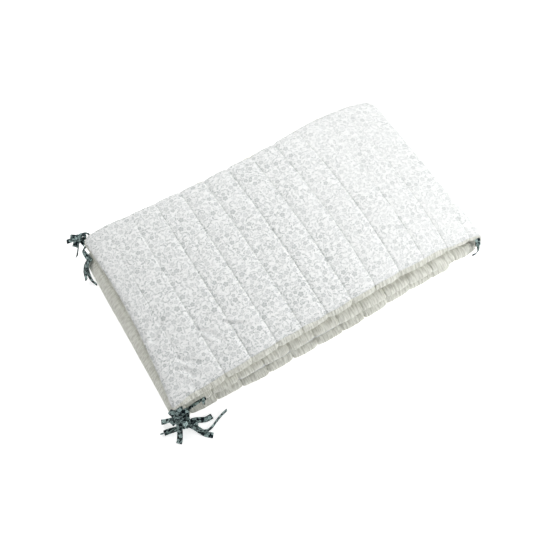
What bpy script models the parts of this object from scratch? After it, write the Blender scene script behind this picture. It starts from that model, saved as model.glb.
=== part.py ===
"""A padded crib bumper, folded in three and lying on a flat surface. Metres, +Z up.

It is one long quilted strip: a filled pad with a muslin back, a printed cotton panel over its face, and ties
of narrow tape sewn into its sides. X runs along the folded strip, Y across it, and the origin is on the
surface that the strip lies on.
"""

from math import cos, pi, radians, sin

import bmesh
import bpy
import numpy as np
from mathutils import Vector

# The strip, before it is folded. Half sizes are measured from its middle surface.
CHANNEL = 0.050
END_CHANNEL = 0.045
FULL_CHANNELS = 35
FLAT_LENGTH = 2 * END_CHANNEL + FULL_CHANNELS * CHANNEL
HALF_LOFT = 0.0112
HALF_SEAM = 0.0035
HALF_INNER_FOLD = 0.0072
FLATTENED = 1.12
RIM = 0.016
SEAM_PULL = 0.0022
FULLNESS_CHANGE = 0.04
PANEL_EDGE = radians(33)
RIM_ANGLES = (0, PANEL_EDGE, radians(60), radians(90))
PANEL = 0.0012
GAP = 0.0003

# The fold in three. Each layer runs between the centres of the left and the right fold, and its middle surface
# stays level up to where the bottom layer ends.
TOP_END_X = -0.295
RIGHT_FOLD_X = 0.3088
LEFT_FOLD_X = -0.2836
DROOP_FROM_X = 0.254
LAYERS = (
    # name, z_left, z_right
    ("top", 0.0595, 0.0600),
    ("middle", 0.0350, 0.0270),
    ("bottom", 0.0105, 0.0105),
)

# How the strip's two long edges lie, by length along it.
EDGES = (
    # along, y_front, y_back
    (0.000, -0.1765, 0.1900),
    (0.050, -0.1760, 0.1930),
    (0.100, -0.1745, 0.1900),
    (0.170, -0.1730, 0.1875),
    (0.300, -0.1710, 0.1870),
    (0.380, -0.1705, 0.1890),
    (0.430, -0.1695, 0.1935),
    (0.480, -0.1695, 0.1970),
    (0.540, -0.1705, 0.1950),
    (0.580, -0.1730, 0.1870),
    (0.605, -0.1750, 0.1790),
    (0.630, -0.1800, 0.1700),
    (0.657, -0.1860, 0.1730),
    (0.690, -0.1865, 0.1750),
    (0.750, -0.1830, 0.1750),
    (1.250, -0.1790, 0.1760),
    (1.290, -0.1835, 0.1700),
    (1.370, -0.1845, 0.1690),
    (1.430, -0.1880, 0.1670),
    (1.620, -0.1900, 0.1660),
    (1.720, -0.1845, 0.1690),
    (1.840, -0.1845, 0.1700),
)

# How far the cloth has slid onwards along the strip at its front edge, halfway across and at its back edge.
# This bows the rows of stitches and the strip's end.
SLIDES = (
    # along, front, halfway, back
    (0.000, -0.010, 0.007, -0.002),
    (0.045, -0.001, -0.002, 0.000),
    (0.145, 0.002, 0.002, 0.002),
    (0.245, 0.003, 0.006, 0.001),
    (0.345, 0.004, 0.010, 0.004),
    (0.395, 0.003, 0.014, 0.005),
    (0.445, 0.005, 0.018, 0.008),
    (0.495, 0.007, 0.021, 0.013),
    (0.545, 0.006, 0.021, 0.012),
    (0.595, 0.002, 0.017, 0.010),
    (0.650, 0.000, 0.012, 0.006),
    (0.800, 0.000, 0.000, 0.000),
    (1.840, 0.000, 0.000, 0.000),
)

# Radius of each corner of the strip, seen from above.
CORNERS = {
    # (end, side): radius
    ("start", "front"): 0.008,
    ("start", "back"): 0.020,
    ("finish", "front"): 0.014,
    ("finish", "back"): 0.014,
}

# The tape of the ties.
TAPE_WIDTH = 0.010
TAPE = 0.0012

# Where each tie is sewn in, as a length along the strip and a side; the way that its tape leaves the side, seen
# from above, and the tape's slope across its width there, 0 lying flat and 90 on its edge; and its knot.
TIES = (
    # name, along, side, leaves, slope, knot_x, knot_y, knot_z, knot_size
    ("tie_front_top", 0.012, "front", 265, 0, -0.2985, -0.1855, 0.0455, 0.0052),
    ("tie_front_fold", 1.214, "front", 260, 90, -0.2898, -0.1950, 0.0150, 0.0048),
    ("tie_back_top", 0.018, "back", 120, 90, -0.2990, 0.1970, 0.0580, 0.0050),
    ("tie_back_fold", 1.231, "back", 100, 90, -0.2995, 0.1525, 0.0458, 0.0040),
    ("tie_right_fold", 0.612, "front", 270, 0, 0.3165, -0.1855, 0.0480, 0.0026),
)

# Places that the tape passes between the strip's side and its knot, with its slope.
LEADS = (
    # tie, x, y, z, slope
    ("tie_front_top", -0.2975, -0.1842, 0.0560, 0),
    ("tie_front_fold", -0.2580, -0.1850, 0.0375, 90),
    ("tie_front_fold", -0.2760, -0.1865, 0.0335, 80),
    ("tie_back_top", -0.2850, 0.1995, 0.0600, 75),
    ("tie_back_fold", -0.2850, 0.1850, 0.0350, 90),
    ("tie_back_fold", -0.2965, 0.1865, 0.0375, 80),
    ("tie_back_fold", -0.3015, 0.1760, 0.0440, 55),
)
LEAD_STEPS = 3
LEAD_SLOPE_AT_KNOT = 20

# The free ends of each knot: where the tip lies, how far the strand sways to its left halfway, how far it waves
# from side to side, the share of its length by which it has come down, and the tape's slope at the knot and at
# the tip.
STRANDS = (
    # tie, tip_x, tip_y, tip_z, sway, wave, down_by, slope_start, slope_end
    ("tie_front_top", -0.3258, -0.1675, 0.0100, 0.000, 0.001, 0.9, 30, 10),
    ("tie_front_top", -0.3171, -0.2125, 0.0010, 0.002, 0.000, 1.0, 10, 0),
    ("tie_front_fold", -0.3301, -0.1840, 0.0010, 0.000, 0.001, 0.8, 20, 0),
    ("tie_front_fold", -0.3366, -0.1840, 0.0056, 0.001, 0.001, 0.8, 30, 84),
    ("tie_front_fold", -0.2612, -0.2298, 0.0010, -0.001, 0.001, 0.8, 35, 0),
    ("tie_front_fold", -0.2469, -0.2000, 0.0030, 0.001, 0.002, 0.8, 25, 30),
    ("tie_front_fold", -0.2203, -0.2044, 0.0056, -0.018, -0.005, 0.5, 80, 84),
    ("tie_back_top", -0.3197, 0.2033, 0.0540, 0.000, 0.000, 0.9, 10, 8),
    ("tie_back_top", -0.3169, 0.1830, 0.0250, 0.001, 0.001, 0.9, 75, 60),
    ("tie_back_top", -0.2965, 0.1845, 0.0500, 0.001, 0.000, 0.9, 60, 60),
    ("tie_back_fold", -0.3085, 0.1225, 0.0075, -0.009, 0.000, 0.8, 55, 84),
    ("tie_back_fold", -0.3210, 0.1350, 0.0180, -0.006, 0.000, 0.9, 20, 60),
    ("tie_right_fold", 0.3035, -0.1915, 0.0330, 0.002, 0.000, 1.0, 45, 60),
)
STRAND_STEPS = 9
STRAND_START = 0.05

# The loops of each knot: the far point, the breadth, and the tilt of the loop, 0 lying flat with the tape on its
# edge and 90 upright with the tape lying flat.
LOOPS = (
    # tie, far_x, far_y, far_z, breadth, tilt
    ("tie_front_top", -0.3095, -0.1765, 0.0470, 0.007, 45),
    ("tie_front_top", -0.2870, -0.1850, 0.0460, 0.007, 40),
    ("tie_back_top", -0.3127, 0.1900, 0.0450, 0.006, 20),
    ("tie_back_top", -0.2880, 0.2045, 0.0610, 0.006, 60),
)
LOOP_STEPS = 10

# Colours of the pad's muslin, the printed panel and the ties, with roughness.
MUSLIN = ((0.62, 0.61, 0.55, 1), 0.95)
PRINTED_COTTON = ((0.83, 0.84, 0.85, 1), 0.85)
TIE_COTTON = ((0.10, 0.19, 0.21, 1), 0.8)


def clear_scene():
    for old in list(bpy.data.objects):
        bpy.data.objects.remove(old, do_unlink=True)


def material(name, colour_and_roughness):
    colour, roughness = colour_and_roughness
    made = bpy.data.materials.new(name)
    made.use_nodes = True
    surface = made.node_tree.nodes["Principled BSDF"]
    surface.inputs["Base Color"].default_value = colour
    surface.inputs["Roughness"].default_value = roughness
    surface.inputs["Metallic"].default_value = 0
    return made


def ease(t):
    return t * t * (3 - 2 * t)


def level_run(layer, from_x, to_x):
    """Middle surface of a layer between two places: it only changes height near the right fold."""
    x = np.linspace(from_x, to_x, 400)
    fall = ease(np.clip((x - DROOP_FROM_X) / (RIGHT_FOLD_X - DROOP_FROM_X), 0, 1))
    return x, layer[1] + (layer[2] - layer[1]) * fall


class Strip:
    """The strip's middle surface as folded, as points along it by length."""

    def __init__(self):
        turn = np.linspace(0, pi, 90)
        top, middle, bottom = LAYERS
        right_radius = (top[2] - middle[2]) / 2
        left_radius = (middle[1] - bottom[1]) / 2
        legs = (
            level_run(top, TOP_END_X, RIGHT_FOLD_X),
            (RIGHT_FOLD_X + right_radius * np.sin(turn), middle[2] + right_radius * (1 + np.cos(turn))),
            level_run(middle, RIGHT_FOLD_X, LEFT_FOLD_X),
            (LEFT_FOLD_X - left_radius * np.sin(turn), bottom[1] + left_radius * (1 + np.cos(turn))),
            level_run(bottom, LEFT_FOLD_X, RIGHT_FOLD_X),
        )
        self.x = np.concatenate([x for x, z in legs])
        self.z = np.concatenate([z for x, z in legs])
        steps = np.hypot(np.diff(self.x), np.diff(self.z))
        self.length = np.concatenate([[0], np.cumsum(steps)])
        ends = self.length[np.cumsum([len(x) for x, z in legs]) - 1]
        self.right_fold = (ends[0], ends[1])
        self.left_fold = (ends[2], ends[3])

    def frame(self, along):
        """Point on the strip's centre line, the direction onwards, and the direction out of its face."""
        reach = 0.0008
        ahead = np.interp(along + reach, self.length, self.x), np.interp(along + reach, self.length, self.z)
        behind = np.interp(along - reach, self.length, self.x), np.interp(along - reach, self.length, self.z)
        onward = np.array([ahead[0] - behind[0], 0, ahead[1] - behind[1]])
        onward /= np.linalg.norm(onward)
        outward = np.array([-onward[2], 0, onward[0]])
        point = np.array([np.interp(along, self.length, self.x), 0, np.interp(along, self.length, self.z)])
        return point, onward, outward

    def bend(self, along, fold):
        """1 inside a fold, falling to 0 a little way before and after it."""
        start, finish = fold
        spread = 0.012
        before = np.clip((along - start + spread) / spread, 0, 1)
        after = np.clip((finish + spread - along) / spread, 0, 1)
        return ease(before) * ease(after)


def seam_places():
    return [END_CHANNEL + CHANNEL * k for k in range(FULL_CHANNELS + 1)]


def puff(along):
    """0 at a row of stitches, 1 in the middle of a channel, with each channel filled a little differently."""
    seams = np.array(seam_places())
    away = np.abs(seams - along)
    nearest = int(np.argmin(away))
    channel = nearest + (along > seams[nearest])
    fullness = 1 + FULLNESS_CHANGE * sin(2.3 * channel)
    return sin(pi * min(0.5, away[nearest] / CHANNEL)) ** 0.5 * fullness


def edges(along):
    """Y of the strip's front and back edge, which each row of stitches pulls in."""
    at, front, back = zip(*EDGES)
    pull = SEAM_PULL * (1 - puff(along))
    return np.interp(along, at, front) + pull, np.interp(along, at, back) - pull


def slide(along, share):
    """How far the cloth has slid onwards; share runs from -1 at the front edge to 1 at the back edge."""
    at, *columns_of_slide = zip(*SLIDES)
    front, halfway, back = (np.interp(along, at, column) for column in columns_of_slide)
    return halfway + (back - front) / 2 * share + ((back + front) / 2 - halfway) * share**2


def stations(strip):
    """Places along the strip, each with the share of the loft that the round of its two ends leaves."""
    rows = {}
    for angle in RIM_ANGLES:
        rows[RIM * (1 - cos(angle))] = sin(angle)
        rows[FLAT_LENGTH - RIM * (1 - cos(angle))] = sin(angle)
    bends = (strip.right_fold, strip.left_fold)
    for seam in seam_places():
        for share in (0, 0.28, 0.72):
            along = seam + share * CHANNEL
            if share and any(start - 0.003 < along < finish + 0.003 for start, finish in bends):
                continue
            if along < FLAT_LENGTH - RIM - 0.002:
                rows[along] = 1
    rows[END_CHANNEL - 0.28 * CHANNEL] = 1
    for start, finish in bends:
        for along in np.linspace(start, finish, 8):
            if min(abs(seam - along) for seam in seam_places()) > 0.0035:
                rows[float(along)] = 1
    return sorted(rows.items())


def columns():
    """Places across the strip: which side, the angle on the round of the side, and the share of the flat."""
    front = [(-1, angle, 1) for angle in RIM_ANGLES]
    back = [(1, angle, 1) for angle in reversed(RIM_ANGLES)]
    between = [(-1, pi / 2, 0.5), (1, pi / 2, 0), (1, pi / 2, 0.5)]
    return front + between + back


def rounded_corner(along, inset, side):
    """Moves a place near a corner of the strip inwards, onto the corner's round."""
    for end, away in (("start", along), ("finish", FLAT_LENGTH - along)):
        radius = CORNERS[(end, "front" if side < 0 else "back")]
        if away >= radius or inset >= radius:
            continue
        share = np.array([1 - away / radius, 1 - inset / radius])
        share *= share.max() / max(np.linalg.norm(share), 1e-9)
        away, inset = radius * (1 - share[0]), radius * (1 - share[1])
        along = away if end == "start" else FLAT_LENGTH - away
    return along, inset


def surfaces(strip):
    """The pad's face and back as two grids of points, rows along the strip and columns across it."""
    face, back = [], []
    for along, end_share in stations(strip):
        front_y, back_y = edges(along)
        middle_y, half_width = (front_y + back_y) / 2, (back_y - front_y) / 2
        loft = (HALF_SEAM + (HALF_LOFT - HALF_SEAM) * puff(along)) * end_share
        face_row, back_row = [], []
        for side, angle, flat_share in columns():
            inset = RIM * (1 - cos(angle))
            place, inset = rounded_corner(along, inset, side)
            share = side * (1 - inset / half_width) * flat_share
            place += slide(place, share)
            inner_face = strip.bend(place, strip.left_fold)
            inner_back = strip.bend(place, strip.right_fold)
            face_loft = min(loft, HALF_LOFT + (HALF_INNER_FOLD - HALF_LOFT) * inner_face)
            back_loft = min(loft, HALF_LOFT + (HALF_INNER_FOLD - HALF_LOFT) * inner_back)
            point, onward, outward = strip.frame(max(place, 0))
            middle = point + onward * min(place, 0) + np.array([0, middle_y + share * half_width, 0])
            crown = sin(angle) * (1 - 0.05 * share**2)
            covered = (PANEL + GAP) * min(1, end_share * sin(angle) * 1.3)
            face_row.append(middle + outward * max(0, face_loft * crown - covered))
            if place > strip.left_fold[1] - 0.01:
                back_loft = min(loft * FLATTENED, HALF_LOFT * FLATTENED)
            low = middle - outward * back_loft * crown
            low[2] = max(low[2], 0)
            back_row.append(low)
        face.append(face_row)
        back.append(back_row)
    return np.array(face), np.array(back)


def grid_normals(grid):
    onward = np.gradient(grid, axis=0)
    across = np.gradient(grid, axis=1)
    normals = np.cross(onward, across)
    return normals / np.linalg.norm(normals, axis=2, keepdims=True)


def mesh_of_grids(name, upper, lower, sides):
    """A closed mesh between two grids of points, with a strip of faces round it if they don't share an edge."""
    rows, cols = upper.shape[:2]
    points = np.concatenate([upper.reshape(-1, 3), lower.reshape(-1, 3)])
    offset = rows * cols

    def at(layer, i, j):
        return layer * offset + i * cols + j

    faces = []
    for i in range(rows - 1):
        for j in range(cols - 1):
            for layer, order in ((0, 1), (1, -1)):
                a, b, c, d = at(layer, i, j), at(layer, i + 1, j), at(layer, i + 1, j + 1), at(layer, i, j + 1)
                if (2 * i < rows - 1) == (2 * j < cols - 1):
                    faces += [(a, b, c)[::order], (a, c, d)[::order]]
                else:
                    faces += [(a, b, d)[::order], (b, c, d)[::order]]
    if sides:
        round_edge = [(i, 0) for i in range(rows - 1)] + [(rows - 1, j) for j in range(cols - 1)]
        round_edge += [(i, cols - 1) for i in range(rows - 1, 0, -1)] + [(0, j) for j in range(cols - 1, 0, -1)]
        for first, second in zip(round_edge, round_edge[1:] + round_edge[:1]):
            faces.append((at(0, *second), at(0, *first), at(1, *first), at(1, *second)))
    mesh = bpy.data.meshes.new(name)
    mesh.from_pydata([tuple(p) for p in points], [], [tuple(f) for f in faces])
    shape = bmesh.new()
    shape.from_mesh(mesh)
    if not sides:
        bmesh.ops.remove_doubles(shape, verts=shape.verts, dist=1e-7)
    bmesh.ops.recalc_face_normals(shape, faces=shape.faces)
    shape.to_mesh(mesh)
    shape.free()
    mesh.shade_smooth()
    mesh.set_sharp_from_angle(angle=radians(50))
    return mesh


def add_object(name, mesh, finish):
    made = bpy.data.objects.new(name, mesh)
    bpy.context.scene.collection.objects.link(made)
    mesh.materials.clear()
    mesh.materials.append(finish)
    return made


def make_pad_and_panel(strip):
    face, back = surfaces(strip)
    add_object("quilted_pad", mesh_of_grids("quilted_pad", face, back, False), material("muslin", MUSLIN))
    normals = grid_normals(face)[1:-1, 1:-1]
    inside = face[1:-1, 1:-1]
    if (normals[0, :, 2]).mean() < 0:
        normals = -normals
    under, over = inside + GAP * normals, inside + (GAP + PANEL) * normals
    panel = mesh_of_grids("printed_panel", over, under, True)
    add_object("printed_panel", panel, material("printed_cotton", PRINTED_COTTON))


def ribbon(name, points, widths, width=TAPE_WIDTH, thickness=TAPE):
    """A closed strip of tape through the points, whose width lies along the directions given."""
    points = [Vector(p) for p in points]
    shape = bmesh.new()
    rings = []
    for i, point in enumerate(points):
        onward = (points[min(i + 1, len(points) - 1)] - points[max(i - 1, 0)]).normalized()
        wide = Vector(widths[i])
        wide = (wide - wide.dot(onward) * onward).normalized()
        thick = onward.cross(wide)
        corners = ((1, 1), (-1, 1), (-1, -1), (1, -1))
        rings.append([
            shape.verts.new(point + wide * (a * width / 2) + thick * (b * thickness / 2)) for a, b in corners
        ])
    for near, far in zip(rings, rings[1:]):
        for k in range(4):
            shape.faces.new((near[k], near[k - 1], far[k - 1], far[k]))
    shape.faces.new(rings[0])
    shape.faces.new(rings[-1][::-1])
    bmesh.ops.recalc_face_normals(shape, faces=shape.faces)
    mesh = bpy.data.meshes.new(name)
    shape.to_mesh(mesh)
    shape.free()
    return mesh


def sloped(run, slope):
    """Direction across a tape that runs in a direction: level and to its left at slope 0, upwards at 90."""
    left = Vector((-run.y, run.x, 0)).normalized()
    return left * cos(radians(slope)) + Vector((0, 0, sin(radians(slope))))


def lead_path(root, outward, slope, places, knot):
    """Centre line and width directions of the tape from the strip's side through some places to the knot."""
    start = Vector(root)
    marks = [start, start + 0.0025 * outward, *(Vector(place[:3]) for place in places), Vector(knot)]
    slopes = [slope, slope, *(place[3] for place in places), LEAD_SLOPE_AT_KNOT]
    marks = [2 * marks[0] - marks[1], *marks, 2 * marks[-1] - marks[-2]]
    points, widths = [start], [sloped(outward, slope)]
    for span in range(1, len(marks) - 2):
        p, q, r, s = marks[span - 1:span + 3]
        for i in range(LEAD_STEPS):
            t = i / LEAD_STEPS
            if span == 1:
                continue
            points.append(
                0.5 * (2 * q + (r - p) * t + (2 * p - 5 * q + 4 * r - s) * t**2 + (3 * q - p - 3 * r + s) * t**3)
            )
            run = 0.5 * ((r - p) + 2 * (2 * p - 5 * q + 4 * r - s) * t + 3 * (3 * q - p - 3 * r + s) * t**2)
            widths.append(sloped(run, slopes[span - 1] + (slopes[span] - slopes[span - 1]) * ease(t)))
    points.append(marks[-2])
    widths.append(sloped(marks[-1] - marks[-2], slopes[-1]))
    return points, widths


def strand_path(knot, tip_x, tip_y, tip_z, sway, wave, down_by, slope_start, slope_end):
    """Centre line and width directions of a free end, which comes down from the knot to its tip's height."""
    start = Vector(knot)
    across = Vector((tip_x, tip_y, 0)) - Vector((start.x, start.y, 0))
    left = Vector((-across.y, across.x, 0)).normalized()
    points, widths = [], []
    for i in range(STRAND_STEPS + 1):
        t = STRAND_START + (1 - STRAND_START) * i / STRAND_STEPS
        slope = slope_start + (slope_end - slope_start) * ease(t)
        place = start + across * t + left * (sway * sin(pi * t) + wave * sin(2 * pi * t))
        half_tall = abs(sin(radians(slope))) * TAPE_WIDTH / 2 + abs(cos(radians(slope))) * TAPE / 2
        place.z = max(start.z + (tip_z - start.z) * ease(min(1, t / down_by)), half_tall + 0.0003)
        run = across + left * pi * (sway * cos(pi * t) + 2 * wave * cos(2 * pi * t))
        points.append(place)
        widths.append(sloped(run, slope))
    return points, widths


def loop_path(knot, far_x, far_y, far_z, breadth, tilt):
    """Centre line and width directions of a loop, from the knot round by its far point and back."""
    start, out = Vector(knot), Vector((far_x, far_y, far_z)) - Vector(knot)
    left = Vector((-out.y, out.x, 0)).normalized()
    aside = left * cos(radians(tilt)) + out.cross(left).normalized() * sin(radians(tilt))
    points, widths = [], []
    for i in range(LOOP_STEPS + 1):
        turn = radians(25 + (360 - 50) * i / LOOP_STEPS)
        points.append(start + out * (1 - cos(turn)) / 2 + aside * breadth / 2 * sin(turn))
        widths.append(out.cross(aside))
    return points, widths


def fill_cavities(mesh):
    """Keeps a mesh's largest shell, which leaves out the closed pockets between strands of tape."""
    shape = bmesh.new()
    shape.from_mesh(mesh)
    left = set(shape.verts)
    shells = []
    while left:
        shell, edge_of_shell = set(), [next(iter(left))]
        while edge_of_shell:
            vertex = edge_of_shell.pop()
            if vertex in shell:
                continue
            shell.add(vertex)
            edge_of_shell += [edge.other_vert(vertex) for edge in vertex.link_edges]
        left -= shell
        shells.append(shell)
    largest = max(shells, key=len)
    bmesh.ops.delete(shape, geom=[vertex for vertex in shape.verts if vertex not in largest], context="VERTS")
    shape.to_mesh(mesh)
    shape.free()


def join(main, others):
    """Unites closed meshes into one solid and removes the loose ones."""
    for i, other in enumerate(others):
        union = main.modifiers.new(f"union_{i}", "BOOLEAN")
        union.operation = "UNION"
        union.solver = "MANIFOLD"
        union.object = other
    graph = bpy.context.evaluated_depsgraph_get()
    whole = bpy.data.meshes.new_from_object(main.evaluated_get(graph))
    main.modifiers.clear()
    fill_cavities(whole)
    main.data = whole
    for other in others:
        bpy.data.objects.remove(other, do_unlink=True)


def make_tie(strip, row, finish):
    name, along, side, leaves, slope, *knot, size = row
    share = -1 if side == "front" else 1
    place, inset = rounded_corner(along, 0, share)
    point = strip.frame(place + slide(place, share))[0]
    edge_y = edges(place)[0 if side == "front" else 1] - share * inset
    root = (point[0], edge_y + share * (GAP + 0.0002), point[2])

    shape = bmesh.new()
    bmesh.ops.create_icosphere(shape, subdivisions=2, radius=size)
    bmesh.ops.scale(shape, verts=shape.verts, vec=(1.0, 0.95, 0.8))
    bmesh.ops.translate(shape, verts=shape.verts, vec=knot)
    mesh = bpy.data.meshes.new(name)
    shape.to_mesh(mesh)
    shape.free()
    tie = add_object(name, mesh, finish)

    def rows(table):
        return [values for tie_name, *values in table if tie_name == name]

    outward = Vector((cos(radians(leaves)), sin(radians(leaves)), 0))
    paths = [lead_path(root, outward, slope, rows(LEADS), knot)]
    paths += [strand_path(knot, *values) for values in rows(STRANDS)]
    paths += [loop_path(knot, *values) for values in rows(LOOPS)]
    join(tie, [add_object("tape", ribbon("tape", *path), finish) for path in paths])


def main():
    clear_scene()
    strip = Strip()
    make_pad_and_panel(strip)
    tie_cotton = material("tie_cotton", TIE_COTTON)
    for row in TIES:
        make_tie(strip, row, tie_cotton)


main()
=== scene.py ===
"""Looks of the folded crib bumper: its padded muslin strip, printed cotton face, quilting and ties.

Lengths are in metres. Places along the strip are counted from the free end of its top layer."""

from math import cos, pi, radians, sin

import bmesh
import bpy
import numpy as np
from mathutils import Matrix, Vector


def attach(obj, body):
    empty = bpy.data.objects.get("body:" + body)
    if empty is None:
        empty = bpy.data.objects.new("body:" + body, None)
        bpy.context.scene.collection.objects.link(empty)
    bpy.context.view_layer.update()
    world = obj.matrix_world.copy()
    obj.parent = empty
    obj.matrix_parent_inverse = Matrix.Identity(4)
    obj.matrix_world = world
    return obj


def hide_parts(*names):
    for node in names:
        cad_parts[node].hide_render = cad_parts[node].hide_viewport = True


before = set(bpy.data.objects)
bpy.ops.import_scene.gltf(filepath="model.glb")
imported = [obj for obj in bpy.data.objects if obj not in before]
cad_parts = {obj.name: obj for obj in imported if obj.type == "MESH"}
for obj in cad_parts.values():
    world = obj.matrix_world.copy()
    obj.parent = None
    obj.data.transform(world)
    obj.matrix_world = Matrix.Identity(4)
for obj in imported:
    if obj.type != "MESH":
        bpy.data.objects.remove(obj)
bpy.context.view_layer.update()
scene = bpy.context.scene

# The quilted pad: one long strip of wadding in undyed double gauze, which comes up round its sides. Rows
# of stitches across it make channels that bulge between them, and the strip is folded in three on a flat
# surface.
CHANNEL = 0.050
END_CHANNEL = 0.045
CHANNELS = 35
STRIP_LENGTH = 2 * END_CHANNEL + CHANNELS * CHANNEL
HALF_LOFT = 0.0112          # half the strip's thickness in the middle of a channel
HALF_STITCHED = 0.0063      # half its thickness at a row of stitches
HALF_INNER_FOLD = 0.0072    # the most that the inner side of a fold stands off the middle
UNDERSIDE_SWELL = 1.12      # the bottom layer swells this much below, and the floor presses it flat
LOWER_AT_SIDES = 0.05       # share of its height that the strip loses towards its sides
RIM = 0.016                 # reach of the round along the sides and ends
RIM_CLOTH = 0.35            # cloth that goes round a side, as a share of that round
PANEL_EDGE = radians(33)    # where on that round the printed panel begins

# How a row of stitches draws the cloth in: a steep drop beside it, then a slower rise.
STEEP_SHARE, STEEP_REACH = 0.55, 0.0010
SLOW_SHARE, SLOW_REACH_AFTER, SLOW_REACH_BEFORE = 0.45, 0.0110, 0.0060
ROW_PULLS_SIDE = 0.0022
ROW_PINCHES_RIM = 0.0022
ROW_DEPTHS = (
    # front, halfway, back: one line for each row from the free end, the last for all that follow
    (0.25, 0.30, 0.10),
    (1.00, 0.60, 0.25),
    (1.00, 0.95, 0.50),
    (1.00, 1.00, 0.85),
    (1.00, 1.00, 0.95),
    (1.10, 1.10, 0.80),
    (1.00, 0.95, 0.60),
    (1.05, 1.05, 1.00),
    (1.00, 0.80, 0.35),
    (0.85, 0.45, 0.10),
    (0.60, 0.35, 0.10),
    (0.45, 0.12, 0.10),
    (0.30, 0.12, 0.10),
    (1.00, 1.00, 1.00),
)

TOP_END_X, RIGHT_FOLD_X, LEFT_FOLD_X, DROOP_FROM_X = -0.295, 0.3088, -0.2836, 0.254
LAYERS = (
    # z at the left, z at the right: the top, middle and bottom layers
    (0.0595, 0.0600),
    (0.0350, 0.0270),
    (0.0105, 0.0105),
)
EDGES = (
    # along, y_front, y_back
    (0.000, -0.1765, 0.1900),
    (0.050, -0.1760, 0.1930),
    (0.100, -0.1745, 0.1900),
    (0.170, -0.1730, 0.1875),
    (0.300, -0.1710, 0.1870),
    (0.380, -0.1705, 0.1890),
    (0.430, -0.1695, 0.1935),
    (0.480, -0.1695, 0.1970),
    (0.540, -0.1705, 0.1950),
    (0.580, -0.1730, 0.1870),
    (0.605, -0.1750, 0.1790),
    (0.630, -0.1800, 0.1700),
    (0.657, -0.1860, 0.1730),
    (0.690, -0.1865, 0.1750),
    (0.750, -0.1830, 0.1750),
    (1.250, -0.1790, 0.1760),
    (1.290, -0.1835, 0.1700),
    (1.370, -0.1845, 0.1690),
    (1.430, -0.1880, 0.1670),
    (1.620, -0.1900, 0.1660),
    (1.720, -0.1845, 0.1690),
    (1.840, -0.1845, 0.1700),
)
SLIDES = (
    # how far the cloth has slid onwards: along, front, halfway, back
    (0.000, -0.010, 0.007, -0.002),
    (0.045, -0.001, -0.002, 0.000),
    (0.145, 0.002, 0.002, 0.002),
    (0.245, 0.003, 0.006, 0.001),
    (0.345, 0.004, 0.010, 0.004),
    (0.395, 0.003, 0.014, 0.005),
    (0.445, 0.005, 0.018, 0.008),
    (0.495, 0.007, 0.021, 0.013),
    (0.545, 0.006, 0.021, 0.012),
    (0.595, 0.002, 0.017, 0.010),
    (0.650, 0.000, 0.012, 0.006),
    (0.800, 0.000, 0.000, 0.000),
    (1.840, 0.000, 0.000, 0.000),
)
CORNERS = {("start", -1): 0.008, ("start", 1): 0.020, ("finish", -1): 0.014, ("finish", 1): 0.014}


def ease(t):
    return t * t * (3 - 2 * t)


def rise(value, start, over):
    """0 up to start, then smoothly up to 1 over this much more."""
    return ease(np.clip((value - start) / over, 0, 1))


def drooped(x):
    """0 until the layers begin to droop, 1 at the right fold."""
    return rise(x, DROOP_FROM_X, RIGHT_FOLD_X - DROOP_FROM_X)


def fold_line():
    """The folded strip's middle surface: x, z, the length along it, and where both folds lie on it."""
    turn = np.linspace(0, pi, 90)
    top, middle, bottom = LAYERS
    right_radius, left_radius = (top[1] - middle[1]) / 2, (middle[0] - bottom[0]) / 2

    def level(layer, from_x, to_x):
        x = np.linspace(from_x, to_x, 400)
        return x, layer[0] + (layer[1] - layer[0]) * drooped(x)

    legs = (
        level(top, TOP_END_X, RIGHT_FOLD_X),
        (RIGHT_FOLD_X + right_radius * np.sin(turn), middle[1] + right_radius * (1 + np.cos(turn))),
        level(middle, RIGHT_FOLD_X, LEFT_FOLD_X),
        (LEFT_FOLD_X - left_radius * np.sin(turn), bottom[0] + left_radius * (1 + np.cos(turn))),
        level(bottom, LEFT_FOLD_X, RIGHT_FOLD_X),
    )
    x, z = (np.concatenate([leg[k] for leg in legs]) for k in (0, 1))
    length = np.concatenate([[0], np.cumsum(np.hypot(np.diff(x), np.diff(z)))])
    ends = length[np.cumsum([len(leg[0]) for leg in legs]) - 1]
    return x, z, length, (ends[0], ends[1]), (ends[2], ends[3])


line_x, line_z, line_length, right_fold, left_fold = fold_line()
stitch_rows = END_CHANNEL + CHANNEL * np.arange(CHANNELS + 1)


def on_line(along):
    return np.array([np.interp(along, line_length, line) for line in (line_x, line_z)])


def on_fold(along):
    """Points on the middle surface and the way onwards there, which is straight on past the start."""
    reach = 0.0008
    ahead, behind = (on_line(np.maximum(along, reach) + step) for step in (reach, -reach))
    onward = (ahead - behind) / np.linalg.norm(ahead - behind, axis=0)
    return on_line(along) + onward * np.minimum(along, 0), onward


def in_fold(along, fold):
    """1 inside a fold, falling to 0 a little way before and after it."""
    spread = 0.012
    before = np.clip((along - fold[0] + spread) / spread, 0, 1)
    after = np.clip((fold[1] + spread - along) / spread, 0, 1)
    return ease(before) * ease(after)


def from_table(table, column, along, smooth=0.018):
    """A column of a table by length along the strip, with its corners smoothed."""
    at = [row[0] for row in table]
    values = [row[column] for row in table]
    return sum(np.interp(along + step, at, values) for step in np.linspace(-smooth, smooth, 7)) / 7


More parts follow.
